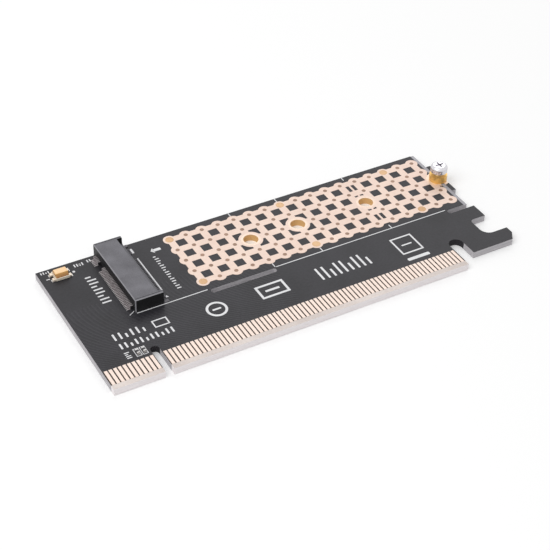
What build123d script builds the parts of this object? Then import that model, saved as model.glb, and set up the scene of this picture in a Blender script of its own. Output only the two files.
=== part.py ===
from build123d import *
import math
import os

# A plug-in adapter card that carries one drive module. Lengths are in millimetres.
# The card lies on its back face: x runs along the edge contacts, y away from them, z up.
# Places are measured from the card's left end and its contact edge. When a piece is saved,
# it is moved so that the middle of the card's outline is at the origin.

# Board
board_thick = 1.6
foil_thick = 0.035  # copper on either face
card_height = 40.75  # contact edge to top edge
bevel_length = 1.25
bevel_angle = 20.0

# Edge contacts
contact_pitch = 1.0
contacts_before_key = 11
contacts_after_key = 71
key_spacing = 3.0  # between the two contacts beside the key
end_margin = 0.65  # middle of an end contact to the end of the tab
contact_width = 0.7
contact_length = 4.3
contact_tip = 1.3  # contact edge to the contact's lower end
key_width = 1.9
key_depth = 7.9

# Retaining hook
hook_gap = 3.35
hook_gap_height = 8.8
hook_length = 11.95
hook_lift = 2.8  # contact edge to the hook's lower side
arm_top = 6.92
latch_top = 12.9
latch_depth = 5.85
latch_low_round = 2.2
latch_high_round = 0.9
tip_chamfer_x = 1.4
tip_chamfer_y = 2.1

# Module area
module_line = 29.8  # contact edge to the module's middle line
module_start = 16.5  # card's left end to the module's inner end
hole_stations = (30.0, 42.0, 60.0)  # module lengths with a screw place
last_station = 80.0
edge_past_station = 0.3
nub_reach = 1.1
nub_half = 5.4
score_width = 0.85
score_depth = 0.12
slot_width = 1.28
slot_drop = 11.95  # below the module's middle line
long_slot_start = 14.0  # from the module's inner end
long_slot_length = 15.8
open_slot_length = 5.7

# Plated holes
hole_diameter = 3.4
land_diameter = 4.4  # plated ring round a hole
ring_diameter = 5.5  # plain copper round a hole

# Copper grid
grid_start = 14.0  # first crossings, from the module's inner end
grid_pitch_x = 4.0
grid_pitch_y = 4.1
grid_columns = 16
grid_rows = 4
grid_window = 2.22
grid_border = 0.75  # outside the outer crossings
bulge_diameter = 2.9
spine_width = 0.5  # strip through each hole

# Module socket
socket_length = 21.7
socket_height = 3.2
socket_back_wall = 2.9
seat_gap = 0.1  # behind the module's end
mouth_depth = 3.6
mouth_floor = 1.45
mouth_height = 0.95
mouth_width = 20.1
mouth_lead = 0.3
lip_reach = 1.0
lip_drop = 0.5
clip_gap = 0.15  # between the lip's end and a clip
top_chamfer = 0.15
key_offset = 6.125  # module's middle line to the socket's key
key_rib = 1.0
peg_diameter = 1.1
peg_length = 1.3
peg_inset = 0.7  # housing's end to a peg's middle
peg_gap = 0.05

# Socket contacts
spring_pitch = 0.5
spring_span = 18.5  # first to last contact of the rear row
spring_width = 0.22
spring_thick = 0.15
spring_gap = 0.02  # between a contact and the housing
row_margin = 0.1  # housing cuts past the end contacts
key_free = 1.0  # no contact nearer the key than this
rear_foot = 0.7
rear_step = 0.6  # back wall to the upright of a rear contact
rear_entry = 0.9  # height at which a rear contact enters the housing
rear_well = 1.7  # back wall to the inner upright
rear_beam_rise = 0.22  # middle of the rear beam above the mouth
rear_dip = 0.4
rear_dip_run = 1.5
front_foot = 0.9
front_well = 0.9  # front face to the upright of a front contact
front_recess = 0.25
front_rise = 0.3
front_rise_run = 0.8
pad_width = 0.3
pad_margin = 0.15

# Socket clips
clip_thick = 0.15
clip_width = 0.8
clip_foot = 1.3
clip_height = 1.3

# Status light
light_x = 4.5
light_y = 37.55
light_length = 3.1
light_width = 2.9
light_base = 0.55
lens_length = 2.7
lens_width = 1.9
lens_height = 1.35
lens_taper = 4.0
terminal_length = 1.2
terminal_width = 0.8
terminal_thick = 0.4
terminal_spread = 1.8
light_pad_margin = 0.25

# Chips by the key
chip_places = (8.65, 10.05)
chip_y = 7.75
chip_width = 0.6
chip_length = 1.2
chip_height = 0.4
cap_length = 0.28
cap_skin = 0.03
chip_pad_margin = 0.2

# Standoff and its screw
standoff_diameter = 4.2
standoff_height = 1.45
shank_diameter = 2.2
shank_gap = 0.05
screw_diameter = 1.9
thread_gap = 0.03
head_gap = 0.95  # room for the module under the head
head_diameter = 4.0
head_height = 1.65
head_round = 0.85
screw_length = 2.6
recess_width = 0.45
recess_length = 2.1
recess_depth = 0.8

# Places that follow from the sizes above
tab_end = 2 * end_margin + (contacts_before_key + contacts_after_key - 2) * contact_pitch + key_spacing
key_x = end_margin + (contacts_before_key - 1) * contact_pitch + key_spacing / 2
hook_start = tab_end + hook_gap
hook_end = hook_start + hook_length
last_x = module_start + last_station
area_end = last_x + edge_past_station
shoulder_end = area_end + nub_reach
slot_line = module_line - slot_drop
slot_low = slot_line - slot_width / 2
slot_high = slot_line + slot_width / 2
hole_places = [module_start + station for station in hole_stations]
board_bottom = foil_thick
board_top = board_bottom + board_thick
pad_top = board_top + foil_thick
mouth_back = module_start - seat_gap
socket_back = mouth_back - socket_back_wall
socket_front = mouth_back + mouth_depth
lip_end = socket_front + lip_reach
lip_half = socket_length / 2 - clip_width - clip_gap
peg_places = [module_line + side * (socket_length / 2 - peg_inset) for side in (-1, 1)]
clip_places = [module_line + side * (socket_length - clip_width) / 2 for side in (-1, 1)]
floor_z = board_top + mouth_floor
roof_z = floor_z + mouth_height
housing_top = board_top + socket_height
foot_z = pad_top + spring_thick / 2
half_spring = spring_thick / 2 + spring_gap
rear_well_x = socket_back + rear_well
rear_entry_z = board_top + rear_entry
rear_beam_z = roof_z + rear_beam_rise
front_well_x = socket_front - front_well
middle = Pos(-hook_end / 2, -card_height / 2, 0)


def rect(x0, y0, x1, y1):
    """Flat rectangle between two corners."""
    return Pos((x0 + x1) / 2, (y0 + y1) / 2) * Rectangle(x1 - x0, y1 - y0)


def block(x0, y0, z0, x1, y1, z1):
    """Box between two corners."""
    return Pos((x0 + x1) / 2, (y0 + y1) / 2, (z0 + z1) / 2) * Box(x1 - x0, y1 - y0, z1 - z0)


def rod(x, y, z0, z1, diameter):
    """Upright cylinder from z0 to z1."""
    return Pos(x, y, (z0 + z1) / 2) * Cylinder(diameter / 2, z1 - z0)


def across(points, y0, y1):
    """Solid with an outline in x and z, from y0 to y1."""
    face = Plane.XZ * Polygon(*points, align=None)
    return Pos(0, (y0 + y1) / 2, 0) * extrude(face, (y1 - y0) / 2, both=True)


def strip(points, thick, width, y):
    """Bent strip of sheet metal along the points of its middle line, centred on y."""
    sides = ([], [])
    for i, (px, pz) in enumerate(points):
        before = points[max(i - 1, 0)]
        after = points[min(i + 1, len(points) - 1)]
        turn_in = math.atan2(pz - before[1], px - before[0]) if i else None
        turn_out = math.atan2(after[1] - pz, after[0] - px) if i < len(points) - 1 else turn_in
        turn_in = turn_out if turn_in is None else turn_in
        half_turn = (turn_out - turn_in + math.pi) % (2 * math.pi) / 2 - math.pi / 2
        normal = turn_in + half_turn + math.pi / 2
        reach = thick / 2 / math.cos(half_turn)
        for side, sign in zip(sides, (1, -1)):
            side.append((px + sign * reach * math.cos(normal), pz + sign * reach * math.sin(normal)))
    return across(sides[0] + sides[1][::-1], y - width / 2, y + width / 2)


def save(name, shapes):
    """Write one STEP file with every solid of the given shapes."""
    solids = [middle * solid for shape in shapes for solid in shape.solids()]
    export_step(solids[0] if len(solids) == 1 else Compound(solids), f"parts/{name}.step")


def edge_cut(x, width, height):
    """Opening from the contact edge up, with a full round end."""
    round_y = height - width / 2
    return rect(x - width / 2, -width, x + width / 2, round_y) + Pos(x, round_y) * Circle(width / 2)


def latch_cut():
    """Opening behind the hook's arm, with one large and one small round."""
    cut = rect(hook_end - latch_depth, arm_top, hook_end + latch_depth, latch_top)
    cut = fillet(cut.vertices().group_by(Axis.X)[0].sort_by(Axis.Y)[0], latch_low_round)
    return fillet(cut.vertices().group_by(Axis.X)[0].sort_by(Axis.Y)[-1], latch_high_round)


def hook_arm():
    """Lower arm of the hook, with its tip cut back."""
    return Polygon(
        (hook_start, hook_lift),
        (hook_end - tip_chamfer_x, hook_lift),
        (hook_end, hook_lift + tip_chamfer_y),
        (hook_end, arm_top),
        (hook_start, arm_top),
        align=None,
    )


def board_outline():
    outline = rect(0, 0, tab_end, card_height)
    outline += rect(0, hook_lift, area_end, card_height)
    outline += rect(area_end - nub_reach, module_line - nub_half, shoulder_end, module_line + nub_half)
    outline += rect(hook_start, hook_lift, shoulder_end, slot_low)
    outline += hook_arm()
    outline -= latch_cut()
    outline -= edge_cut(tab_end + hook_gap / 2, hook_gap, hook_gap_height)
    outline -= edge_cut(key_x, key_width, key_depth)
    long_slot_middle = module_start + long_slot_start + long_slot_length / 2
    outline -= Pos(long_slot_middle, slot_line) * SlotOverall(long_slot_length, slot_width)
    open_slot_round = area_end - open_slot_length + slot_width / 2
    outline -= rect(open_slot_round, slot_low, shoulder_end, slot_high)
    outline -= Pos(open_slot_round, slot_line) * Circle(slot_width / 2)
    return outline


def circuit_board():
    board = Pos(0, 0, board_bottom) * extrude(board_outline(), board_thick)
    drop = bevel_length * math.tan(math.radians(bevel_angle))
    wedge = Plane.YZ * Polygon((0, 0), (0, drop), (bevel_length, 0), align=None)
    wedge = extrude(wedge, tab_end)
    board -= Pos(0, 0, board_bottom) * wedge
    board -= Pos(0, 0, board_top) * mirror(wedge, Plane.XY)
    for x in hole_places:
        board -= rod(x, module_line, 0, pad_top, hole_diameter)
    board -= rod(last_x, module_line, 0, pad_top, shank_diameter + 2 * shank_gap)
    for y in peg_places:
        board -= rod(mouth_back, y, 0, pad_top, peg_diameter + 2 * peg_gap)
    for z in (board_bottom, board_top - score_depth):
        board -= block(area_end - score_width, slot_high, z, area_end, card_height, z + score_depth)
    return board


def edge_contacts(z):
    """The row of contacts on one face, with its lower side at z."""
    places = [end_margin + i * contact_pitch for i in range(contacts_before_key)]
    places += [key_x + key_spacing / 2 + i * contact_pitch for i in range(contacts_after_key)]
    half = contact_width / 2
    low, high = contact_tip, contact_tip + contact_length
    return [block(x - half, low, z, x + half, high, z + foil_thick) for x in places]


def copper_grid():
    """Bare copper between the module's screw places, with square windows and a wavy border."""
    columns = [module_start + grid_start + i * grid_pitch_x for i in range(grid_columns + 1)]
    rows = [module_line + (j - grid_rows / 2) * grid_pitch_y for j in range(grid_rows + 1)]
    low_y, high_y = rows[0], rows[-1]
    low_x, high_x = columns[0], columns[-1]
    sheet = rect(low_x - grid_border, low_y - grid_border, high_x + grid_border, high_y + grid_border)
    outer = [(x, y) for x in columns for y in rows if x in (low_x, high_x) or y in (low_y, high_y)]
    sheet += [Pos(x, y) * Circle(bulge_diameter / 2) for x, y in outer]
    half = grid_window / 2
    sheet -= [
        rect(x + grid_pitch_x / 2 - half, y + grid_pitch_y / 2 - half,
             x + grid_pitch_x / 2 + half, y + grid_pitch_y / 2 + half)
        for x in columns[:-1]
        for y in rows[:-1]
    ]
    for x in hole_places:
        sheet += Pos(x, module_line) * Circle(ring_diameter / 2)
        sheet += rect(x - spine_width / 2, low_y, x + spine_width / 2, high_y)
    for x in hole_places:
        sheet -= Pos(x, module_line) * Circle(land_diameter / 2)
    sheet -= Pos(last_x, module_line) * Circle(ring_diameter / 2)
    return Pos(0, 0, board_top) * extrude(sheet, foil_thick)


def hole_ring(x):
    """Plated rings of a screw hole, one on either face."""
    hole = rod(x, module_line, 0, pad_top, hole_diameter)
    return [
        rod(x, module_line, 0, board_bottom, land_diameter) - hole,
        rod(x, module_line, board_top, pad_top, land_diameter) - hole,
    ]


def spring_rows():
    """Places of the rear and the front contacts across the socket, left out round the key."""
    count = round(spring_span / spring_pitch)
    rear = [-spring_span / 2 + i * spring_pitch for i in range(count + 1)]
    front = [y + spring_pitch / 2 for y in rear[:-1]]
    return [[module_line + y for y in row if abs(y - key_offset) > key_free] for row in (rear, front)]


def row_cuts(row, sections):
    """Cuts for a row of contacts: one for each section on either side of the key."""
    key_y = module_line + key_offset
    past = spring_width / 2 + row_margin
    groups = [y for y in row if y < key_y], [y for y in row if y > key_y]
    return [
        block(x0, min(group) - past, z0, x1, max(group) + past, z1)
        for group in groups
        for x0, z0, x1, z1 in sections
    ]


def socket_housing():
    half = socket_length / 2
    housing = block(socket_back, module_line - half, board_top, socket_front, module_line + half, housing_top)
    housing = chamfer(housing.edges().group_by(Axis.Z)[-1], top_chamfer)
    lip = [
        (socket_front, board_top),
        (lip_end, board_top),
        (lip_end, floor_z - lip_drop),
        (socket_front, floor_z),
    ]
    housing += across(lip, module_line - lip_half, module_line + lip_half)
    mouth = [
        (mouth_back, floor_z),
        (lip_end, floor_z),
        (lip_end, roof_z + mouth_lead),
        (socket_front, roof_z + mouth_lead),
        (socket_front - mouth_lead, roof_z),
        (mouth_back, roof_z),
    ]
    housing -= across(mouth, module_line - mouth_width / 2, module_line + mouth_width / 2)
    rear, front = spring_rows()
    beam_top = rear_beam_z + half_spring
    housing -= row_cuts(rear, [
        (socket_back, rear_entry_z - half_spring, rear_well_x + half_spring, rear_entry_z + half_spring),
        (rear_well_x - half_spring, rear_entry_z - half_spring, rear_well_x + half_spring, beam_top),
        (rear_well_x - half_spring, rear_beam_z - half_spring, mouth_back, beam_top),
        (mouth_back, roof_z, socket_front - mouth_lead, beam_top),
    ])
    housing -= row_cuts(front, [
        (front_well_x - half_spring, board_top, lip_end, foot_z + half_spring),
        (front_well_x - half_spring, board_top, front_well_x + half_spring, floor_z),
        (front_well_x - front_rise_run, floor_z - front_recess, front_well_x + half_spring, floor_z),
    ])
    key_low = module_line + key_offset - key_rib / 2
    housing += block(mouth_back, key_low, floor_z, socket_front - mouth_lead, key_low + key_rib, roof_z)
    for y in peg_places:
        housing += rod(mouth_back, y, board_top - peg_length, board_top, peg_diameter)
    return housing


def rear_contacts():
    """Contacts whose beams come over the mouth from behind."""
    upright_x = socket_back - rear_step
    points = [
        (upright_x - rear_foot, foot_z),
        (upright_x, foot_z),
        (upright_x, rear_entry_z),
        (rear_well_x, rear_entry_z),
        (rear_well_x, rear_beam_z),
        (mouth_back + rear_dip_run / 2, rear_beam_z),
        (mouth_back + rear_dip_run, rear_beam_z - rear_dip),
        (mouth_back + 1.5 * rear_dip_run, rear_beam_z - rear_dip / 2),
    ]
    return [strip(points, spring_thick, spring_width, y) for y in spring_rows()[0]]


def front_contacts():
    """Contacts that run in under the lip and rise through the floor of the mouth."""
    points = [
        (lip_end + front_foot, foot_z),
        (front_well_x, foot_z),
        (front_well_x, floor_z - front_recess / 2),
        (front_well_x - front_rise_run, floor_z + front_rise),
        (front_well_x - 2 * front_rise_run, floor_z + front_rise / 2),
    ]
    return [strip(points, spring_thick, spring_width, y) for y in spring_rows()[1]]


def socket_clip(y):
    """Bent tab that holds one end of the socket down."""
    points = [
        (socket_front + clip_foot, foot_z),
        (socket_front + clip_thick / 2, foot_z),
        (socket_front + clip_thick / 2, board_top + clip_height),
    ]
    return strip(points, clip_thick, clip_width, y)


def socket_pads():
    """Solder pads under the contacts' feet and the clips."""
    rear, front = spring_rows()
    half = pad_width / 2
    rear_end = socket_back - rear_step + spring_thick / 2
    rear_start = socket_back - rear_step - rear_foot - pad_margin
    front_end = lip_end + front_foot + pad_margin
    pads = [block(rear_start, y - half, board_top, rear_end, y + half, pad_top) for y in rear]
    pads += [block(lip_end, y - half, board_top, front_end, y + half, pad_top) for y in front]
    for y in clip_places:
        low, high = y - clip_width / 2, y + clip_width / 2
        pads.append(block(socket_front, low, board_top, socket_front + clip_foot + pad_margin, high, pad_top))
    return pads


def centred(x, y, z, length, width, height):
    """Box centred on x and y, standing on z."""
    return block(x - length / 2, y - width / 2, z, x + length / 2, y + width / 2, z + height)


def light_base_piece():
    base = centred(light_x, light_y, pad_top, light_length, light_width, light_base)
    for x, y in light_ends():
        base -= centred(x, y, pad_top, terminal_length, terminal_width, terminal_thick)
    return base


def light_ends():
    """Middle of each of the four terminals."""
    reach = light_length / 2
    return [(light_x + i * reach, light_y + j * terminal_spread / 2) for i in (-1, 1) for j in (-1, 1)]


def light_lens():
    face = Pos(light_x, light_y, pad_top + light_base) * Rectangle(lens_length, lens_width)
    return extrude(face, lens_height, taper=lens_taper)


def light_terminals():
    return [centred(x, y, pad_top, terminal_length, terminal_width, terminal_thick) for x, y in light_ends()]


def light_pads():
    length = terminal_length + 2 * light_pad_margin
    return [centred(x, y, board_top, length, terminal_width, foil_thick) for x, y in light_ends()]


def chip(x):
    """Ceramic body of a chip, waisted where its end caps wrap round it."""
    skin = 2 * cap_skin
    body = centred(x, chip_y, pad_top + cap_skin, chip_width - skin, chip_length - skin, chip_height - skin)
    middle_length = chip_length - 2 * cap_length
    return body + centred(x, chip_y, pad_top, chip_width, middle_length, chip_height)


def chip_caps():
    """Metal end caps of the chips."""
    caps = []
    for x in chip_places:
        whole = centred(x, chip_y, pad_top, chip_width, chip_length, chip_height)
        caps += (whole - chip(x)).solids()
    return caps


def chip_pads():
    reach = (chip_length - cap_length) / 2
    length = cap_length + 2 * chip_pad_margin
    return [
        centred(x, chip_y + side * reach, board_top, chip_width, length, foil_thick)
        for x in chip_places
        for side in (-1, 1)
    ]


def standoff():
    body = rod(last_x, module_line, pad_top, pad_top + standoff_height, standoff_diameter)
    body += rod(last_x, module_line, board_bottom, pad_top, shank_diameter)
    return body - rod(last_x, module_line, 0, housing_top, screw_diameter + 2 * thread_gap)


def standoff_pad():
    """Copper ring under the standoff, cut off with the board's edge."""
    ring = rod(last_x, module_line, board_top, pad_top, ring_diameter)
    ring -= rod(last_x, module_line, 0, housing_top, shank_diameter + 2 * shank_gap)
    keep = block(last_x - ring_diameter, slot_high, board_top, shoulder_end, card_height, pad_top)
    return ring & (keep - score_strip())


def score_strip():
    """Air over the scored strip along the module area's right edge."""
    return block(area_end - score_width, slot_high, 0, area_end, card_height, housing_top)


def module_screw():
    under_head = pad_top + standoff_height + head_gap
    head = rod(last_x, module_line, under_head, under_head + head_height, head_diameter)
    head = fillet(head.edges().group_by(Axis.Z)[-1], head_round)
    low = under_head + head_height - recess_depth
    for length, width in ((recess_length, recess_width), (recess_width, recess_length)):
        head -= centred(last_x, module_line, low, length, width, recess_depth)
    return head + rod(last_x, module_line, under_head - screw_length, under_head, screw_diameter)


os.makedirs("parts", exist_ok=True)
save("circuit_board", [circuit_board()])
save("front_edge_contacts", edge_contacts(board_top))
save("back_edge_contacts", edge_contacts(0))
save("copper_grid", [copper_grid()])
for number, hole_x in enumerate(hole_places, start=1):
    save(f"hole_ring_{number}", hole_ring(hole_x))
save("socket_housing", [socket_housing()])
save("socket_rear_contacts", rear_contacts())
save("socket_front_contacts", front_contacts())
save("socket_clip_bottom", [socket_clip(clip_places[0])])
save("socket_clip_top", [socket_clip(clip_places[1])])
save("socket_pads", socket_pads())
save("status_light_base", [light_base_piece()])
save("status_light_lens", [light_lens()])
save("status_light_terminals", light_terminals())
save("status_light_pads", light_pads())
save("left_chip", [chip(chip_places[0])])
save("right_chip", [chip(chip_places[1])])
save("chip_end_caps", chip_caps())
save("chip_pads", chip_pads())
save("standoff", [standoff()])
save("standoff_pad", [standoff_pad()])
save("module_screw", [module_screw()])
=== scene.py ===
import math

import bpy
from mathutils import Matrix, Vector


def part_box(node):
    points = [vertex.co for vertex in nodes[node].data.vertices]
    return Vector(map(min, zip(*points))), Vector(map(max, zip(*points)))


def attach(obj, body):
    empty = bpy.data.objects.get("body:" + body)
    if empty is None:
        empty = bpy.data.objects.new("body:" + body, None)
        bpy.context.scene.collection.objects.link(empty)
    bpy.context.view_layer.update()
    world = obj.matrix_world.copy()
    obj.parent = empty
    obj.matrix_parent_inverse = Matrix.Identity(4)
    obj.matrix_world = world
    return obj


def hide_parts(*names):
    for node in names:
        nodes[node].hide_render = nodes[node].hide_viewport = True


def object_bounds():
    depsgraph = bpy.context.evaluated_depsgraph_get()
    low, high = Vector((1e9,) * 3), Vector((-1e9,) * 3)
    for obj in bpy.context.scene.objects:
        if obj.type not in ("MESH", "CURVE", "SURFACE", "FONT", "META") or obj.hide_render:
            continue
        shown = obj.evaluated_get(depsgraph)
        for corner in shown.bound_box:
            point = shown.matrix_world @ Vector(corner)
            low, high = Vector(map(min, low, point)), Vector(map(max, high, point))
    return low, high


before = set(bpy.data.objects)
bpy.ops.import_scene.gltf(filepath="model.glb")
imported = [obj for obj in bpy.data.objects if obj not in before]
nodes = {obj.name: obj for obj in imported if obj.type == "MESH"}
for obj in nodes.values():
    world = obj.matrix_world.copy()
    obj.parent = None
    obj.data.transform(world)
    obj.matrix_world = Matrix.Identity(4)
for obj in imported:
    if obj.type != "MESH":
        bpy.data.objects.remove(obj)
cad_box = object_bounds()

# Sizes are in millimetres and turned into metres by MM. Places on the card are measured
# from its left end and its contact edge.
MM = 0.001
board_low, board_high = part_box("circuit_board")
grid_low, grid_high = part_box("copper_grid")
contact_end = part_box("front_edge_contacts")[1].x
pad_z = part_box("socket_pads")[1].z
socket_low, socket_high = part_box("socket_housing")
face_z = board_high.z
foil_z = grid_high.z

# Board
tab_margin = 0.3
mask_edge_y = 5.2
pad_tip_y = 1.3
area_end_x = 96.8
score_width = 0.85
slot_high_y = 18.49
slot_start_x = 30.5
slot_end_x = 46.3
open_slot_x = 91.1
layer_period = 0.26
round_ends = ((5, 6.6), (90, 9.2))  # corners of the area with the round ends of key and hook gap, whose walls get painted shade
trace_area = ((0, 6.2), (46, 25.5))  # corners of the area with the traces
trace_pitch = 0.95
trace_bend = 34.0  # per metre

# Module area
line_y = 29.8
hole_x = (46.5, 58.5, 76.5)
hole_clear = 3.0
hole_wall_reach = 1.8  # from a hole's middle, past its wall
first_crossing_x = 30.5
crossing_pitch_x = 4.0
crossing_pitch_y = 4.1
crossing_columns = 17
crossing_rows = 5
via_radius = 0.48
via_hollow = 0.2
via_sink = 0.8  # as a share of the plating's thickness
round_pad_radius = 0.95
round_pad_columns = (0, 7, 14)
pad_rim = 0.12
pad_slope = 0.3
plating_thick = 0.02

# Module socket
roof_front_x = 18.75
jaw_front_x = 20.0
mouth_half = 10.05
mouth_floor = 1.45
foot_pull = 0.75
springs_past_x = 20.6  # what lies past this and the next moves in by foot_pull
pads_past_x = 20.9
bead_size = (0.2, 0.2, 0.1)
bead_lean = (0.55, 0.7, 1)  # its top as a share of its foot
bead_round = 0.3  # as a share of its shortest side
spring_pitch = 0.5
spring_span = 18.5
key_offset = 6.125
key_free = 1.0
toe_x = 12.17
groove_inset = 0.42
groove_width = 0.12
groove_depth = 0.08
corner_cut = 0.2
cut_from_x = 13.0  # the boxes that cut the housing end clear of it
cut_to_x = 22.0
cut_to_z = 4.0
cut_below = 0.3
roof_height = 3.2

# Status light
lens_length = 2.9
lens_width = 2.6
lens_top = 1.5
lens_shift = 0.05
lens_lean = (0.97, 0.62, 1)  # its top as a share of its foot
lens_round = 0.14

# Printed marks
ink_thick = 0.02
ink_line = 0.22
ink_thin = 0.15
stroke_round = 0.25  # corners, as a share of a stroke's shorter side
short_stroke = 0.62  # every third stroke of a row, as a share of the others
frame_line_y = 18.72
frame_line_x = 13.7
frame_line_gaps = (0.4, 0.2)  # at the closed slot and at the open one
tick_gap = 0.15
socket_line_x = 21.5
arrow_y = line_y + 6.4
arrow_shaft = (26.55, 1.8, 0.85)  # middle, length, width
arrow_head = (25.52, 1.02, 0.46)  # middle, radius, squash

# Plain marks
upright_rows = (  # x, y, count, pitch, length of a stroke, line
    (9.6, 13.9, 6, 1.3, 2.1, 0.42),
    (12.2, 10.8, 11, 1.15, 1.7, 0.42),
    (59.7, 12.1, 9, 1.5, 4.1, 0.5),
    (1.8, 39.9, 4, 0.55, 0.75, 0.25),
    (9.3, 39.2, 4, 0.6, 1.0, 0.28),
    (11.8, 39.5, 2, 0.6, 0.9, 0.28),
)
flat_rows = (  # the same, with strokes along x
    (9.7, 29.6, 9, 1.15, 2.1, 0.42),
    (25.1, line_y - 1.7, 15, 0.85, 1.0, 0.3),
    (6.6, 7.75, 4, 0.55, 1.1, 0.25),
)
plain_boxes = (  # left, low, right, high, line
    (15.2, 12.9, 18.3, 14.9, 0.3),
    (39.2, 10.6, 45.4, 14.3, 0.55),
    (73.6, 9.5, 78.7, 15.0, 0.4),
    (8.13, 6.6, 9.17, 8.9, ink_thin),
    (9.53, 6.6, 10.57, 8.9, ink_thin),
)
plain_bars = (  # x, y, length, width
    (28.9, 12.2, 2.0, 0.5),
    (42.3, 12.45, 3.4, 0.6),
    (76.15, 12.25, 2.6, 0.4),
    (76.15, 7.35, 5.6, 0.9),
    (1.65, 37.5, 0.8, 0.25),
)
plain_ring = (28.9, 12.2, 2.35, 0.55)  # x, y, radius, line
plain_dot = (7.5, 37.5, 0.32)  # x, y, radius

# Floor, light and camera
floor_gap = 0.01
floor_white = 0.97
floor_glow = 0.12
world_light = 0.55
world_seen = 1.0
camera_place = (-0.124421, -0.209923, 0.193985)  # metres
camera_turn = (51.0686, -1.139, -29.2558)  # degrees
camera_lens = 93.372
lamps = (  # name, place and size in metres, power
    ("key", (-0.45, -0.1, 0.6), 0.5, 2.2),
    ("fill", (0.35, 0.5, 0.55), 0.6, 1.2),
)


def across_card(x, y):
    """Place on the card, from millimetres to the frame."""
    return board_low.x + x * MM, board_low.y + y * MM


def deselect():
    bpy.ops.object.select_all(action="DESELECT")


def edit(select="SELECT"):
    bpy.ops.object.mode_set(mode="EDIT")
    bpy.ops.mesh.select_all(action=select)


def leave_edit():
    bpy.ops.object.mode_set(mode="OBJECT")


def select_faces(piece, wanted):
    """Select the faces for which wanted(face) holds; the piece is in object mode."""
    edit("DESELECT")
    bpy.ops.mesh.select_mode(type="FACE")
    leave_edit()
    for face in piece.data.polygons:
        face.select = wanted(face)
    bpy.ops.object.mode_set(mode="EDIT")


def select_edges(piece, wanted):
    """Select the edges for which wanted(start, end) holds; the piece is in object mode."""
    edit("DESELECT")
    bpy.ops.mesh.select_mode(type="EDGE")
    leave_edit()
    for edge in piece.data.edges:
        start, end = (piece.data.vertices[i].co for i in edge.vertices)
        edge.select = wanted(start, end)
    bpy.ops.object.mode_set(mode="EDIT")


def apply_place(piece):
    deselect()
    piece.select_set(True)
    bpy.context.view_layer.objects.active = piece
    bpy.ops.object.transform_apply(location=True, rotation=True, scale=True)


def join(name, pieces):
    """One object from several, with its place in its mesh."""
    for piece in pieces:
        apply_place(piece)
    deselect()
    for piece in pieces:
        piece.select_set(True)
    bpy.context.view_layer.objects.active = pieces[0]
    bpy.ops.object.join()
    whole = bpy.context.object
    whole.name = name
    return whole


def copies(piece, places):
    """Copies of a piece, each with its own mesh, at the given places; the piece itself goes."""
    made = []
    for place in places:
        deselect()
        piece.select_set(True)
        bpy.context.view_layer.objects.active = piece
        bpy.ops.object.duplicate()
        made.append(bpy.context.object)
        made[-1].location = place
    bpy.data.objects.remove(piece)
    return made


def raise_ink():
    """Extrude the flat mark in edit mode into a thin closed slab."""
    bpy.ops.mesh.select_all(action="SELECT")
    bpy.ops.mesh.extrude_region_move(TRANSFORM_OT_translate={"value": (0, 0, ink_thick * MM)})
    bpy.ops.mesh.select_all(action="SELECT")
    bpy.ops.mesh.normals_make_consistent(inside=False)
    leave_edit()


def ink_bar(x, y, length, width, turn=0.0):
    """Printed stroke with softened corners, centred on x and y."""
    deselect()
    px, py = across_card(x, y)
    bpy.ops.mesh.primitive_plane_add(size=1, location=(px, py, face_z))
    stroke = bpy.context.object
    stroke.scale = (length * MM, width * MM, 1)
    stroke.rotation_euler.z = math.radians(turn)
    apply_place(stroke)
    edit()
    bpy.ops.mesh.bevel(offset=min(length, width) * stroke_round * MM, segments=2, affect="VERTICES")
    raise_ink()
    return stroke


def ink_dot(x, y, radius, corners=20, turn=0.0, squash=1.0):
    """Printed dot, or a triangle with three corners; squash flattens it before it is turned."""
    deselect()
    px, py = across_card(x, y)
    bpy.ops.mesh.primitive_circle_add(
        vertices=corners, radius=radius * MM, fill_type="NGON", location=(px, py, face_z)
    )
    dot = bpy.context.object
    dot.scale.y = squash
    dot.rotation_euler.z = math.radians(turn)
    apply_place(dot)
    edit()
    raise_ink()
    return dot


def ink_ring(x, y, radius, line):
    """Printed ring: a circle inset, its middle taken out, then raised."""
    deselect()
    px, py = across_card(x, y)
    bpy.ops.mesh.primitive_circle_add(
        vertices=40, radius=radius * MM, fill_type="NGON", location=(px, py, face_z)
    )
    ring = bpy.context.object
    apply_place(ring)
    edit()
    bpy.ops.mesh.inset(thickness=line * MM)
    bpy.ops.mesh.delete(type="FACE")
    raise_ink()
    return ring


def ink_frame(x0, y0, x1, y1, line):
    """Outline of a rectangle as four strokes."""
    cx, cy = (x0 + x1) / 2, (y0 + y1) / 2
    return [
        ink_bar(cx, y0, x1 - x0 + line, line),
        ink_bar(cx, y1, x1 - x0 + line, line),
        ink_bar(x0, cy, line, y1 - y0 - line),
        ink_bar(x1, cy, line, y1 - y0 - line),
    ]


def ink_scale(x, y, count, pitch, height, line, upright=True):
    """Row of strokes like a ruler's, every third one shorter; upright rows run along x."""
    strokes = []
    for i in range(count):
        reach = height * (short_stroke if i % 3 == 2 else 1.0)
        along = (i - (count - 1) / 2) * pitch
        if upright:
            strokes.append(ink_bar(x + along, y - (height - reach) / 2, line, reach))
        else:
            strokes.append(ink_bar(x - (height - reach) / 2, y + along, reach, line))
    return strokes


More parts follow.
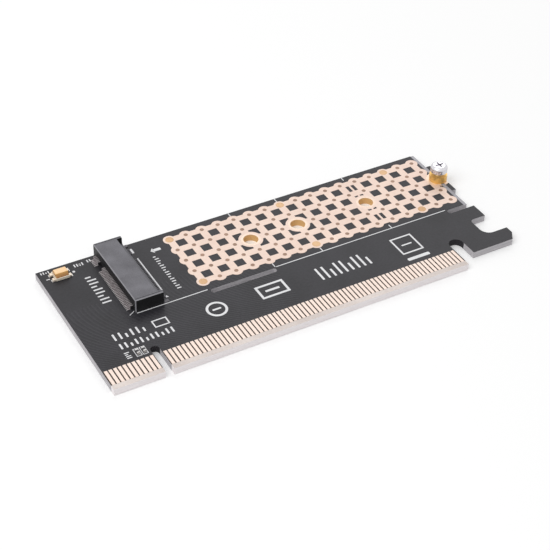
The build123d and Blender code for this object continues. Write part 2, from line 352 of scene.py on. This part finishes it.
def socket_marks():
    """Line, pin marks and insertion arrow beside the socket."""
    back = (socket_low.x - board_low.x) / MM
    near = (socket_low.y - board_low.y) / MM
    shaft_x, shaft_length, shaft_width = arrow_shaft
    head_x, head_radius, head_squash = arrow_head
    return [
        ink_bar(socket_line_x, line_y - 0.6, ink_line * 1.3, 12.3),
        ink_bar(socket_line_x, line_y + 8.4, 0.5, 1.7),
        ink_dot(socket_line_x, line_y - 9.1, 0.42, corners=3),
        ink_bar(shaft_x, arrow_y, shaft_length, shaft_width),
        ink_bar(back - 0.75, near + 0.25, 1.6, ink_thin, turn=32),
        ink_bar(9.6, 39.3, 0.35, 0.35),
        ink_dot(head_x, arrow_y, head_radius, corners=3, turn=90, squash=head_squash),
    ]


def area_marks():
    """Line below the module area and the ticks at the screw places."""
    top_margin = ((grid_high.y - board_low.y) / MM, (board_high.y - board_low.y) / MM)
    low_margin = (frame_line_y, (grid_low.y - board_low.y) / MM)
    slot_gap, end_gap = frame_line_gaps
    spans = ((frame_line_x, slot_start_x - slot_gap), (slot_end_x + slot_gap, open_slot_x - end_gap))
    marks = [ink_bar((x0 + x1) / 2, frame_line_y, x1 - x0, ink_line) for x0, x1 in spans]
    for x in hole_x:
        for low, high in (top_margin, low_margin):
            marks.append(ink_bar(x, (low + high) / 2, ink_line, high - low - tick_gap))
    return marks


def plain_marks():
    """Plain strokes, boxes, a ring and a dot in the open parts of the card."""
    marks = [ink_ring(*plain_ring), ink_dot(*plain_dot)]
    marks += [ink_bar(*bar) for bar in plain_bars]
    for box in plain_boxes:
        marks += ink_frame(*box)
    for row in upright_rows:
        marks += ink_scale(*row)
    for row in flat_rows:
        marks += ink_scale(*row, upright=False)
    return marks


def crossings():
    """Every crossing of the grid, with its column and row."""
    for i in range(crossing_columns):
        for j in range(crossing_rows):
            x = first_crossing_x + i * crossing_pitch_x
            y = line_y + (j - (crossing_rows - 1) / 2) * crossing_pitch_y
            yield i, j, x, y


def is_round_pad(i, j):
    return i in round_pad_columns and j in (0, crossing_rows - 1)


def grid_vias():
    """Filled vias: discs with a sunken middle."""
    deselect()
    bpy.ops.mesh.primitive_cylinder_add(vertices=18, radius=via_radius * MM, depth=plating_thick * MM)
    via = bpy.context.object
    select_faces(via, lambda face: face.normal.z > 0.5)
    bpy.ops.mesh.inset(thickness=(via_radius - via_hollow) * 0.5 * MM)
    bpy.ops.mesh.inset(thickness=(via_radius - via_hollow) * 0.5 * MM)
    bpy.ops.transform.translate(value=(0, 0, -plating_thick * via_sink * MM))
    leave_edit()
    last_x = first_crossing_x + (crossing_columns - 1) * crossing_pitch_x
    stops = [(x, line_y) for x in hole_x] + [(last_x, line_y)]
    places = [
        (*across_card(x, y), foil_z + plating_thick / 2 * MM)
        for i, j, x, y in crossings()
        if not is_round_pad(i, j) and all(math.dist((x, y), stop) > hole_clear for stop in stops)
    ]
    return join("grid_vias", copies(via, places))


def round_pads():
    """Larger plated pads on the border of the grid, slightly crowned."""
    deselect()
    bpy.ops.mesh.primitive_cylinder_add(
        vertices=36, radius=round_pad_radius * MM, depth=plating_thick * MM
    )
    pad = bpy.context.object
    select_faces(pad, lambda face: face.normal.z > 0.5)
    bpy.ops.mesh.inset(thickness=pad_rim * MM)
    bpy.ops.mesh.inset(thickness=pad_slope * MM)
    bpy.ops.transform.translate(value=(0, 0, plating_thick * MM))
    leave_edit()
    places = [
        (*across_card(x, y), foil_z + plating_thick / 2 * MM)
        for i, j, x, y in crossings()
        if is_round_pad(i, j)
    ]
    return join("round_pads", copies(pad, places))


def solder_bead(length, width, height):
    """Low bead of solder: a box rounded by bevels and pressed narrower at its top."""
    deselect()
    bpy.ops.mesh.primitive_cube_add(size=1)
    bead = bpy.context.object
    bead.scale = (length * MM, width * MM, height * MM)
    apply_place(bead)
    select_faces(bead, lambda face: face.normal.z > 0.5)
    bpy.ops.transform.resize(value=bead_lean)
    bpy.ops.mesh.select_all(action="SELECT")
    bpy.ops.mesh.bevel(offset=min(length, width, height) * bead_round * MM, segments=3)
    leave_edit()
    return bead


def foot_beads():
    """Solder at the toes of the rear contacts."""
    count = round(spring_span / spring_pitch)
    offsets = [-spring_span / 2 + i * spring_pitch for i in range(count + 1)]
    places = [
        (*across_card(toe_x, line_y + offset), pad_z + bead_size[2] / 2 * MM)
        for offset in offsets
        if abs(offset - key_offset) > key_free
    ]
    return join("foot_beads", copies(solder_bead(*bead_size), places))


def copy_of(name, new_name):
    """Copy of a CAD node with its loose triangles merged."""
    deselect()
    nodes[name].select_set(True)
    bpy.context.view_layer.objects.active = nodes[name]
    bpy.ops.object.duplicate()
    piece = bpy.context.object
    piece.name = new_name
    edit()
    bpy.ops.mesh.remove_doubles(threshold=0.000001)
    leave_edit()
    return piece


def cut_box(piece, low, high):
    """Take a box out of a piece; corners are card places in millimetres, heights above the board's face."""
    deselect()
    x0, y0 = across_card(low[0], low[1])
    x1, y1 = across_card(high[0], high[1])
    z0, z1 = face_z + low[2] * MM, face_z + high[2] * MM
    bpy.ops.mesh.primitive_cube_add(size=1, location=((x0 + x1) / 2, (y0 + y1) / 2, (z0 + z1) / 2))
    cutter = bpy.context.object
    cutter.scale = (x1 - x0, y1 - y0, z1 - z0)
    apply_place(cutter)
    deselect()
    piece.select_set(True)
    bpy.context.view_layer.objects.active = piece
    bpy.ops.object.modifier_add(type="BOOLEAN")
    cut = piece.modifiers[-1]
    cut.operation = "DIFFERENCE"
    cut.solver = "EXACT"
    cut.object = cutter
    bpy.ops.object.modifier_apply(modifier=cut.name)
    bpy.data.objects.remove(cutter)


def pull_in(piece, beyond, by):
    """Shorten a piece: its vertices past a card place move towards the socket."""
    edit("DESELECT")
    bpy.ops.mesh.select_mode(type="VERT")
    leave_edit()
    limit = across_card(beyond, 0)[0]
    for vertex in piece.data.vertices:
        vertex.select = vertex.co.x > limit
    bpy.ops.object.mode_set(mode="EDIT")
    bpy.ops.transform.translate(value=(-by * MM, 0, 0))
    leave_edit()


def is_rear_corner(start, end):
    """Whether an edge is one of the two upright ones at the back of the socket."""
    slack = 0.02 * MM
    at_back = max(start.x, end.x) < socket_low.x + slack
    ends = (socket_low.y, socket_high.y)
    at_end = any(max(abs(start.y - y), abs(end.y - y)) < slack for y in ends)
    return at_back and at_end and abs(start.z - end.z) > MM


def socket_body():
    """Housing with its roof set back between the end cheeks, its jaw flush with them, a groove
    near each end of the roof, and its upright rear corners cut."""
    body = copy_of("socket_housing", "module_socket")
    near, far = ((end - board_low.y) / MM for end in (socket_low.y, socket_high.y))
    mouth_low = (roof_front_x, line_y - mouth_half, mouth_floor)
    cut_box(body, mouth_low, (cut_to_x, line_y + mouth_half, cut_to_z))
    whole = far - near
    cut_box(body, (jaw_front_x, line_y - whole, -cut_below), (cut_to_x, line_y + whole, cut_to_z))
    for y in (near + groove_inset, far - groove_inset - groove_width):
        groove_low = (cut_from_x, y, roof_height - groove_depth)
        cut_box(body, groove_low, (cut_to_x, y + groove_width, cut_to_z))
    edit()
    bpy.ops.mesh.dissolve_limited(angle_limit=math.radians(0.5))
    leave_edit()
    select_edges(body, is_rear_corner)
    bpy.ops.mesh.bevel(offset=corner_cut * MM, segments=1)
    leave_edit()
    return body


def shortened(name, new_name, beyond):
    """Copy of the front contacts or of the pads whose front ends stop short of the printed line."""
    piece = copy_of(name, new_name)
    pull_in(piece, beyond, foot_pull)
    return piece


def amber_lens():
    """Resin top of the status light: long sides leaning in, all edges rounded."""
    deselect()
    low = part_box("status_light_lens")[0]
    base_low, base_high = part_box("status_light_base")
    height = face_z + lens_top * MM - low.z
    bpy.ops.mesh.primitive_cube_add(size=1)
    lens = bpy.context.object
    lens.name = "amber_lens"
    lens.scale = (lens_length * MM, lens_width * MM, height)
    apply_place(lens)
    select_faces(lens, lambda face: face.normal.z > 0.5)
    bpy.ops.transform.resize(value=lens_lean)
    bpy.ops.mesh.select_all(action="SELECT")
    bpy.ops.mesh.bevel(offset=lens_round * MM, segments=3)
    leave_edit()
    middle = (base_low + base_high) / 2
    lens.location = (middle.x + lens_shift * MM, middle.y, low.z + height / 2)
    apply_place(lens)
    return lens


def make_node(tree, kind, inputs=None, **settings):
    """Add a shader node; an input is a value or another node's output."""
    made = tree.nodes.new(kind)
    for name, value in settings.items():
        setattr(made, name, value)
    for socket, value in (inputs or {}).items():
        if isinstance(value, bpy.types.NodeSocket):
            tree.links.new(value, made.inputs[socket])
        else:
            made.inputs[socket].default_value = value
    return made


def calc(tree, operation, a, b=0.0):
    """Result of a math node on two values."""
    return make_node(tree, "ShaderNodeMath", {0: a, 1: b}, operation=operation).outputs[0]


def vector(tree, operation, a, b):
    """Outputs of a vector math node on two vectors."""
    return make_node(tree, "ShaderNodeVectorMath", {0: a, 1: b}, operation=operation).outputs


def object_place(tree):
    """Place on the card, in metres."""
    return make_node(tree, "ShaderNodeTexCoord").outputs["Object"]


def mix(tree, factor, a, b):
    """Colour between a and b."""
    made = make_node(tree, "ShaderNodeMix", data_type="RGBA")
    for index, value in ((0, factor), (6, a), (7, b)):
        if isinstance(value, bpy.types.NodeSocket):
            tree.links.new(value, made.inputs[index])
        else:
            made.inputs[index].default_value = value
    return made.outputs[2]


def rgb(r, g, b):
    """Colour from 0 to 255 as seen on a screen, as a linear value."""
    parts = [c / 255 for c in (r, g, b)]
    return tuple(c / 12.92 if c <= 0.04045 else ((c + 0.055) / 1.055) ** 2.4 for c in parts) + (1.0,)


def between(tree, value, low, high):
    """1 where value lies between low and high."""
    above = calc(tree, "GREATER_THAN", value, low)
    below = calc(tree, "LESS_THAN", value, high)
    return calc(tree, "MULTIPLY", above, below)


def new_group(name, inputs, outputs):
    """Node group with named sockets."""
    group = bpy.data.node_groups.new(name, "ShaderNodeTree")
    for socket, kind, value in inputs:
        made = group.interface.new_socket(socket, in_out="INPUT", socket_type=kind)
        if value is not None:
            made.default_value = value
    for socket, kind in outputs:
        group.interface.new_socket(socket, in_out="OUTPUT", socket_type=kind)
    return group, group.nodes.new("NodeGroupInput"), group.nodes.new("NodeGroupOutput")


def grain_group():
    """Fine surface grain: a mask, a roughness that varies and a bumped normal."""
    group, given, result = new_group(
        "fine grain",
        [("Place", "NodeSocketVector", None), ("Scale", "NodeSocketFloat", 2500.0),
         ("Depth", "NodeSocketFloat", 0.00001), ("Roughness", "NodeSocketFloat", 0.4),
         ("Spread", "NodeSocketFloat", 0.1)],
        [("Mask", "NodeSocketFloat"), ("Roughness", "NodeSocketFloat"), ("Normal", "NodeSocketVector")],
    )
    fine = make_node(group, "ShaderNodeTexNoise", {
        "Vector": given.outputs["Place"], "Scale": given.outputs["Scale"], "Detail": 3.0})
    broad_scale = calc(group, "DIVIDE", given.outputs["Scale"], 14.0)
    broad = make_node(group, "ShaderNodeTexNoise", {"Vector": given.outputs["Place"], "Scale": broad_scale})
    fine_share = calc(group, "MULTIPLY", fine.outputs[0], 0.4)
    broad_share = calc(group, "MULTIPLY", broad.outputs[0], 0.6)
    both = calc(group, "ADD", fine_share, broad_share)
    shift = calc(group, "MULTIPLY", calc(group, "SUBTRACT", both, 0.5), given.outputs["Spread"])
    bump = make_node(group, "ShaderNodeBump", {"Height": fine.outputs[0], "Distance": given.outputs["Depth"]})
    clearer = make_node(group, "ShaderNodeMapRange", {"Value": both, "From Min": 0.3, "From Max": 0.7})
    group.links.new(clearer.outputs["Result"], result.inputs["Mask"])
    group.links.new(calc(group, "ADD", given.outputs["Roughness"], shift), result.inputs["Roughness"])
    group.links.new(bump.outputs[0], result.inputs["Normal"])
    return group


def facing_group():
    """How far a surface faces up, 1 on walls, and 1 on upright corners that are cut at a slant."""
    outputs = [(name, "NodeSocketFloat") for name in ("Up", "Wall", "Corner")]
    group, _, result = new_group("facing", [], outputs)
    normal = make_node(group, "ShaderNodeNewGeometry").outputs["True Normal"]
    x, y, up = make_node(group, "ShaderNodeSeparateXYZ", {0: normal}).outputs
    slant = calc(group, "ABSOLUTE", calc(group, "MULTIPLY", x, y))
    group.links.new(calc(group, "GREATER_THAN", slant, 0.3), result.inputs["Corner"])
    group.links.new(up, result.inputs["Up"])
    group.links.new(calc(group, "LESS_THAN", calc(group, "ABSOLUTE", up), 0.5), result.inputs["Wall"])
    return group


grain = grain_group()
facing = facing_group()


def new_material(name, **values):
    """Material with a Principled shader whose named sockets are set once."""
    material = bpy.data.materials.new(name)
    material.use_nodes = True
    shader = material.node_tree.nodes["Principled BSDF"]
    for socket, value in values.items():
        shader.inputs[socket.replace("_", " ")].default_value = value
    return material, material.node_tree, shader


def add_grain(tree, place, scale, depth, roughness, spread):
    """The fine grain's node in a material."""
    return make_node(tree, "ShaderNodeGroup", {
        "Place": place, "Scale": scale, "Depth": depth, "Roughness": roughness, "Spread": spread,
    }, node_tree=grain)


def link_surface(tree, shader, colour, roughness, normal):
    """Connect a material's colour, roughness and normal to its shader."""
    tree.links.new(colour, shader.inputs["Base Color"])
    tree.links.new(roughness, shader.inputs["Roughness"])
    tree.links.new(normal, shader.inputs["Normal"])


def grained(name, dark, light, metal, scale=2500.0, depth=0.00001, roughness=0.35, spread=0.2, **values):
    """Material of one substance: two near colours mixed by the grain."""
    material, tree, shader = new_material(name, Metallic=metal, **values)
    place = object_place(tree)
    made = add_grain(tree, place, scale, depth, roughness, spread)
    colour = mix(tree, made.outputs["Mask"], dark, light)
    link_surface(tree, shader, colour, made.outputs["Roughness"], made.outputs["Normal"])
    return material


def trace_relief(tree, x, y):
    """Raised lines of buried copper between the socket and the contacts, from 0 to 1."""
    (low_x, low_y), (high_x, high_y) = (across_card(*corner) for corner in trace_area)
    reach = calc(tree, "SUBTRACT", y, high_y)
    bend = calc(tree, "MULTIPLY", calc(tree, "MULTIPLY", reach, reach), trace_bend)
    straight = calc(tree, "SUBTRACT", x, bend)
    phase = calc(tree, "MULTIPLY", straight, 2 * math.pi / (trace_pitch * MM))
    lines = calc(tree, "POWER", calc(tree, "MAXIMUM", calc(tree, "SINE", phase), 0.0), 0.6)
    patch = calc(tree, "MULTIPLY", between(tree, x, low_x, high_x), between(tree, y, low_y, high_y))
    return calc(tree, "MULTIPLY", lines, patch)


def near_hole(tree, place, hole):
    """1 near the middle of a screw hole, as far as its wall."""
    middle = (*across_card(hole, line_y), 0.0)
    flat = vector(tree, "MULTIPLY", place, (1.0, 1.0, 0.0))[0]
    away = vector(tree, "DISTANCE", flat, middle)["Value"]
    return calc(tree, "LESS_THAN", away, hole_wall_reach * MM)


def board_material():
    """Dark solder mask on the faces; bare laminate on walls, at the contacts and on the scored strip. The
    walls at the round ends of key and hook gap get painted shade, and the laminate between the contacts is
    darkened with painted shade.
    """
    material, tree, shader = new_material("solder mask and laminate", Specular_IOR_Level=0.25)
    place = object_place(tree)
    x, y, z = make_node(tree, "ShaderNodeSeparateXYZ", {0: place}).outputs
    turned = make_node(tree, "ShaderNodeGroup", node_tree=facing)
    made = add_grain(tree, place, 1800.0, 0.000006, 0.42, 0.16)

    tab_x, mask_y = across_card((contact_end - board_low.x) / MM + tab_margin, mask_edge_y)
    tip_y = across_card(0, pad_tip_y)[1]
    area_x, slot_y = across_card(area_end_x, slot_high_y)
    below_mask = calc(tree, "LESS_THAN", y, mask_y)
    at_contacts = calc(tree, "MULTIPLY", below_mask, calc(tree, "LESS_THAN", x, tab_x + MM))
    at_score = between(tree, x, area_x - score_width * MM, area_x)
    scored = calc(tree, "MULTIPLY", at_score, calc(tree, "GREATER_THAN", y, slot_y))

    relief = trace_relief(tree, x, y)
    grain_tint = calc(tree, "MULTIPLY", made.outputs["Mask"], 0.8)
    tint = calc(tree, "ADD", grain_tint, calc(tree, "MULTIPLY", relief, 0.18))
    mask_colour = mix(tree, tint, rgb(28, 27, 31), rgb(56, 55, 60))
    below_tip = calc(tree, "LESS_THAN", y, tip_y)
    # tan laminate between the contacts, darkened further with painted shade between the raised contacts
    gap_laminate_and_shade = mix(tree, made.outputs["Mask"], rgb(44, 36, 32), rgb(80, 68, 61))
    tip_colour = mix(tree, made.outputs["Mask"], rgb(212, 200, 194), rgb(240, 229, 223))
    bare_colour = mix(tree, below_tip, gap_laminate_and_shade, tip_colour)
    strip_colour = mix(tree, made.outputs["Mask"], rgb(150, 148, 154), rgb(196, 194, 199))
    layers = calc(tree, "SINE", calc(tree, "MULTIPLY", z, 2 * math.pi / (layer_period * MM)))
    drawn = vector(tree, "MULTIPLY", place, (250.0, 250.0, 6000.0))[0]
    woven = make_node(tree, "ShaderNodeTexNoise", {"Vector": drawn, "Scale": 1.0, "Detail": 4.0})
    wall_tint = calc(tree, "ADD", calc(tree, "MULTIPLY", layers, 0.12), woven.outputs[0])
    wall_colour = mix(tree, wall_tint, rgb(150, 147, 151), rgb(216, 213, 216))
    light_wall = mix(tree, wall_tint, rgb(236, 228, 229), rgb(255, 250, 251))
    wall_colour = mix(tree, below_tip, wall_colour, light_wall)
    # painted shade: the walls at the round ends of key and hook gap are painted near-black
    (ends_x0, ends_y0), (ends_x1, ends_y1) = (across_card(*corner) for corner in round_ends)
    end_wall_shade = calc(tree, "MULTIPLY", between(tree, y, ends_y0, ends_y1),
                     between(tree, x, ends_x0, ends_x1))
    wall_colour = mix(tree, end_wall_shade, wall_colour, rgb(44, 42, 46))
    for place_x in hole_x:
        wall_colour = mix(tree, near_hole(tree, place, place_x), wall_colour, rgb(226, 188, 132))

    colour = mix(tree, at_contacts, mask_colour, bare_colour)
    colour = mix(tree, scored, colour, strip_colour)
    colour = mix(tree, turned.outputs["Wall"], colour, wall_colour)
    bare = calc(tree, "MAXIMUM", calc(tree, "MAXIMUM", at_contacts, scored), turned.outputs["Wall"])
    rough = calc(tree, "ADD", made.outputs["Roughness"], calc(tree, "MULTIPLY", bare, 0.22))
    bump = make_node(tree, "ShaderNodeBump", {
        "Height": relief, "Distance": 0.000018, "Normal": made.outputs["Normal"]})
    link_surface(tree, shader, colour, rough, bump.outputs[0])
    return material


def housing_material():
    """Dark moulding, near-black on its walls, with painted light on its top and painted highlights on its
    slanted edges and cut corners.
    """
    material, tree, shader = new_material("moulded housing", Specular_IOR_Level=0.3)
    place = object_place(tree)
    made = add_grain(tree, place, 3500.0, 0.000012, 0.5, 0.2)
    turned = make_node(tree, "ShaderNodeGroup", node_tree=facing)
    up = turned.outputs["Up"]
    top = calc(tree, "MAXIMUM", up, 0.0)
    wall_colour = mix(tree, made.outputs["Mask"], rgb(14, 14, 15), rgb(30, 30, 32))
    # painted light: the top gets a lighter grey than the walls for the light it catches
    lit_top_colour = mix(tree, made.outputs["Mask"], rgb(88, 87, 92), rgb(124, 123, 129))
    colour = mix(tree, top, wall_colour, lit_top_colour)
    # painted highlight: slanted edges and cut upright corners are painted light grey
    edge = calc(tree, "MAXIMUM", between(tree, up, 0.5, 0.9), turned.outputs["Corner"])
    colour = mix(tree, edge, colour, rgb(152, 151, 156))
    link_surface(tree, shader, colour, made.outputs["Roughness"], made.outputs["Normal"])
    return material


def lens_material():
    """Amber resin: paler towards its top, darker down its sides."""
    low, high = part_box("status_light_lens")
    material, tree, shader = new_material("amber resin", Coat_Weight=0.6, Coat_Roughness=0.08, IOR=1.5)
    place = object_place(tree)
    z = make_node(tree, "ShaderNodeSeparateXYZ", {0: place}).outputs[2]
    rise = calc(tree, "DIVIDE", calc(tree, "SUBTRACT", z, low.z), high.z - low.z)
    made = add_grain(tree, place, 1600.0, 0.000004, 0.22, 0.1)
    body = mix(tree, rise, rgb(160, 98, 24), rgb(236, 176, 78))
    top = mix(tree, made.outputs["Mask"], rgb(246, 190, 122), rgb(255, 222, 168))
    turned = make_node(tree, "ShaderNodeGroup", node_tree=facing)
    level = calc(tree, "GREATER_THAN", turned.outputs["Up"], 0.7)
    colour = mix(tree, level, body, top)
    link_surface(tree, shader, colour, made.outputs["Roughness"], made.outputs["Normal"])
    return material


def contact_material():
    """Plated contacts with faint wear streaks along their length."""
    material, tree, shader = new_material("plated contact", Metallic=0.3, Specular_IOR_Level=0.3)
    place = object_place(tree)
    drawn = vector(tree, "MULTIPLY", place, (9000.0, 300.0, 300.0))[0]
    streak = make_node(tree, "ShaderNodeTexNoise", {"Vector": drawn, "Scale": 1.0, "Detail": 3.0})
    made = add_grain(tree, place, 2200.0, 0.000004, 0.3, 0.2)
    colour = mix(tree, streak.outputs[0], rgb(218, 196, 182), rgb(242, 226, 216))
    link_surface(tree, shader, colour, made.outputs["Roughness"], made.outputs["Normal"])
    return material


def dress(material, *names):
    """Give CAD nodes their material."""
    for name in names:
        slots = nodes[name].data.materials
        slots.clear()
        slots.append(material)


def finish_piece(piece, material):
    """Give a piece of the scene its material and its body."""
    piece.data.materials.clear()
    piece.data.materials.append(material)
    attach(piece, "root")


def dress_nodes():
    """Materials of the CAD nodes; the two that the scene's own pieces share are given back."""
    # painted shade: a darker copy of the tinned solder for the socket pads, which lie in the housing's shade
    solder_in_shade = grained("solder in shade", rgb(84, 83, 86), rgb(124, 123, 127), 0.6, roughness=0.45)
    dress(solder_in_shade, "socket_pads")
    solder = grained("tinned solder", rgb(170, 167, 166), rgb(216, 213, 210), 0.6, roughness=0.35)
    spring = grained("tinned strip", rgb(170, 160, 160), rgb(206, 200, 202), 0.3, 1200.0, roughness=0.35)
    # painted shade: a darker copy of the tinned strip for the front contacts and clips, which lie in the
    # housing's shade
    shaded = grained("strip in shade", rgb(62, 61, 65), rgb(100, 98, 103), 0.5, 1200.0, roughness=0.5)
    chip = grained("dark ceramic", rgb(30, 30, 33), rgb(62, 61, 66), 0.0, roughness=0.5)
    dress(board_material(), "circuit_board")
    dress(contact_material(), "front_edge_contacts", "back_edge_contacts")
    dress(grained("grid plating", rgb(228, 202, 188), rgb(242, 220, 206), 0.2, 1500.0, roughness=0.45,
                 Specular_IOR_Level=0.3), "copper_grid")
    ring = grained("hole plating", rgb(228, 202, 182), rgb(244, 222, 204), 0.3, roughness=0.35)
    dress(ring, "hole_ring_1", "hole_ring_2", "hole_ring_3", "standoff_pad")
    dress(housing_material(), "socket_housing")
    dress(spring, "socket_rear_contacts")
    dress(solder, "status_light_pads", "chip_end_caps", "chip_pads")
    cream = grained("pale moulding", rgb(226, 212, 188), rgb(252, 244, 228), 0.0, roughness=0.4)
    dress(cream, "status_light_base")
    ends = grained("pale end plating", rgb(222, 206, 186), rgb(248, 236, 220), 0.3, roughness=0.35)
    dress(ends, "status_light_terminals")
    dress(lens_material(), "status_light_lens")
    dress(chip, "left_chip", "right_chip")
    brass = grained("turned brass", rgb(214, 160, 76), rgb(252, 214, 132), 0.7,
                    900.0, 0.000002, roughness=0.4)
    dress(brass, "standoff")
    steel = grained("bright nickel", rgb(188, 186, 190), rgb(236, 234, 238), 1.0, roughness=0.18)
    dress(steel, "module_screw")
    dress(shaded, "socket_front_contacts", "socket_clip_top", "socket_clip_bottom")
    return solder, shaded


def add_pieces(solder, shaded):
    """Pieces that the scene adds to the CAD nodes or puts in their place."""
    ink = grained("white ink", rgb(226, 226, 228), rgb(244, 244, 246), 0.0, 4000.0, roughness=0.6)
    brown = grained("filled via", rgb(120, 92, 72), rgb(172, 138, 116), 0.25, roughness=0.4)
    tan = grained("tan plating", rgb(178, 138, 98), rgb(214, 176, 134), 0.4, roughness=0.36)
    finish_piece(join("printed_marks", socket_marks() + area_marks() + plain_marks()), ink)
    finish_piece(grid_vias(), brown)
    finish_piece(round_pads(), tan)
    finish_piece(foot_beads(), solder)
    body = socket_body()
    finish_piece(body, nodes["socket_housing"].data.materials[0])
    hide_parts("socket_housing")
    lens = amber_lens()
    finish_piece(lens, nodes["status_light_lens"].data.materials[0])
    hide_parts("status_light_lens")
    feet = shortened("socket_front_contacts", "front_spring_row", springs_past_x)
    finish_piece(feet, shaded)
    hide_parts("socket_front_contacts")
    pads = shortened("socket_pads", "socket_solder_pads", pads_past_x)
    finish_piece(pads, nodes["socket_pads"].data.materials[0])
    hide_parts("socket_pads")


def add_floor():
    """Pale floor just under the card, with a little glow for the camera."""
    deselect()
    bpy.ops.mesh.primitive_plane_add(size=6, location=(0, 0, cad_box[0][2] - floor_gap * MM))
    floor = bpy.context.object
    floor.name = "floor"
    white = (floor_white, floor_white, floor_white, 1.0)
    material, tree, shader = new_material(
        "pale floor", Base_Color=white, Roughness=0.9, Specular_IOR_Level=0.0, Emission_Color=white
    )
    seen = make_node(tree, "ShaderNodeLightPath").outputs["Is Camera Ray"]
    tree.links.new(calc(tree, "MULTIPLY", seen, floor_glow), shader.inputs["Emission Strength"])
    floor.data.materials.append(material)


def add_lamp(name, place, size, power):
    """Soft square lamp aimed at the card."""
    deselect()
    bpy.ops.object.light_add(type="AREA", location=place)
    lamp = bpy.context.object
    lamp.name = name
    lamp.data.size = size
    lamp.data.energy = power
    lamp.rotation_euler = (-lamp.location).to_track_quat("-Z", "Y").to_euler()


def add_world():
    """White to the camera and in reflections, weaker as a light."""
    world = bpy.data.worlds.new("studio")
    bpy.context.scene.world = world
    world.use_nodes = True
    tree = world.node_tree
    seen = make_node(tree, "ShaderNodeLightPath").outputs
    shown = calc(tree, "MAXIMUM", seen["Is Camera Ray"], seen["Is Transmission Ray"])
    shown = calc(tree, "MAXIMUM", shown, seen["Is Glossy Ray"])
    added = calc(tree, "MULTIPLY", shown, world_seen - world_light)
    strength = calc(tree, "ADD", world_light, added)
    tree.links.new(strength, tree.nodes["Background"].inputs["Strength"])
    tree.nodes["Background"].inputs["Color"].default_value = (1, 1, 1, 1)


def add_camera():
    """Camera at the photograph's angle, found from the card's outline and grid."""
    deselect()
    bpy.ops.object.camera_add(
        location=camera_place, rotation=tuple(math.radians(angle) for angle in camera_turn)
    )
    camera = bpy.context.object
    camera.data.sensor_width = 36.0
    camera.data.lens = camera_lens
    bpy.context.scene.camera = camera


add_pieces(*dress_nodes())
add_floor()
for lamp in lamps:
    add_lamp(*lamp)
add_world()
add_camera()
bpy.context.scene.view_settings.view_transform = "Standard"
